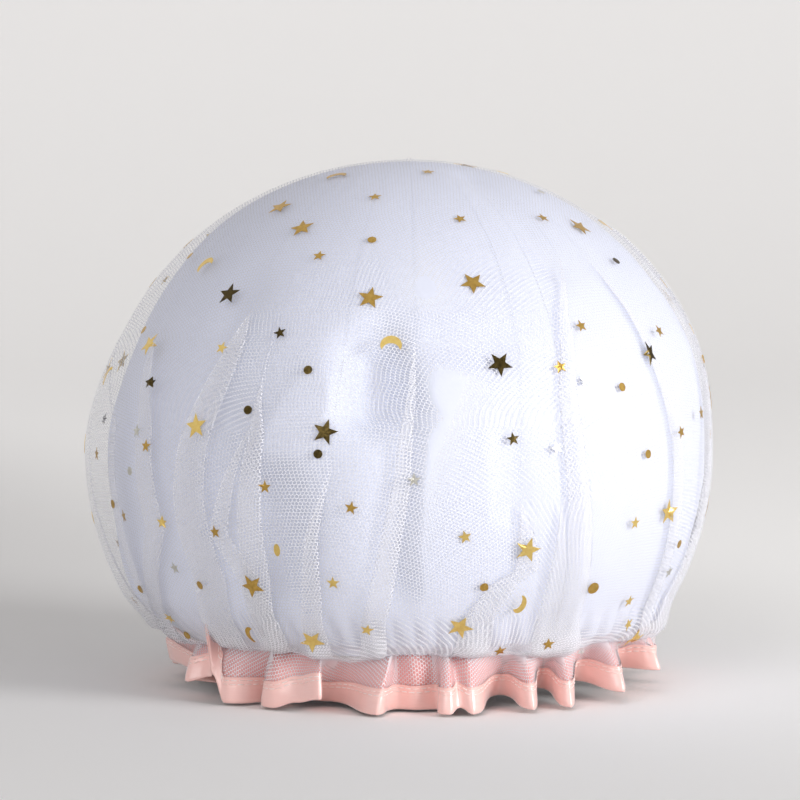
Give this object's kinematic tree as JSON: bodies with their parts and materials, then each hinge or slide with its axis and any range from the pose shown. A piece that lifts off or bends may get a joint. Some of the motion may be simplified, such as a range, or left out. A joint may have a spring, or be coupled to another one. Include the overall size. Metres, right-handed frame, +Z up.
{
  "type": "shower cap",
  "caption": "Puffed double-layer shower cap: net cover with foil motifs over a white lining, elastic gather and ribbon-bound ruffle.",
  "frame": {"origin": "on the surface that the ruffle stands on, under the middle of the crown", "axes": "+Z up through the crown; -Y is the front, the side that carries the foil motifs; +X is to the right of someone who looks at the front"},
  "size_m": [0.2402, 0.24, 0.2],
  "materials": {
    "net": "fine white net",
    "lining": "white waterproof coated cloth, soft sheen",
    "satin": "pink satin",
    "elastic": "white woven elastic",
    "thread": "pale pink sewing thread",
    "foil": "gold foil, mirror bright"
  },
  "bodies": {
    "root": {"casing_thread_lower": "thread", "casing_thread_upper": "thread", "crescent_01": "foil", "crescent_02": "foil", "crescent_03": "foil", "crescent_04": "foil", "crescent_05": "foil", "crescent_06": "foil", "elastic_band": "elastic", "elastic_tack": "thread", "inner_lining": "lining", "large_dot_01": "foil", "large_dot_02": "foil", "large_star_01": "foil", "large_star_02": "foil", "large_star_03": "foil", "large_star_04": "foil", "large_star_05": "foil", "large_star_06": "foil", "large_star_07": "foil", "large_star_08": "foil", "large_star_09": "foil", "large_star_10": "foil", "large_star_11": "foil", "large_star_12": "foil", "large_star_13": "foil", "large_star_14": "foil", "large_star_15": "foil", "large_star_16": "foil", "outer_net": "net", "ribbon_binding": "satin", "ribbon_thread_lower": "thread", "ribbon_thread_upper": "thread", "satin_facing": "satin", "small_dot_01": "foil", "small_dot_02": "foil", "small_dot_03": "foil", "small_dot_04": "foil", "small_dot_05": "foil", "small_dot_06": "foil", "small_star_01": "foil", "small_star_02": "foil", "small_star_03": "foil", "small_star_04": "foil", "small_star_05": "foil", "small_star_06": "foil", "small_star_07": "foil", "small_star_08": "foil", "small_star_09": "foil", "small_star_10": "foil", "small_star_11": "foil", "small_star_12": "foil", "small_star_13": "foil", "small_star_14": "foil", "small_star_15": "foil", "small_star_16": "foil", "small_star_17": "foil", "small_star_18": "foil", "small_star_19": "foil", "small_star_20": "foil"}
  },
  "joints": []
}
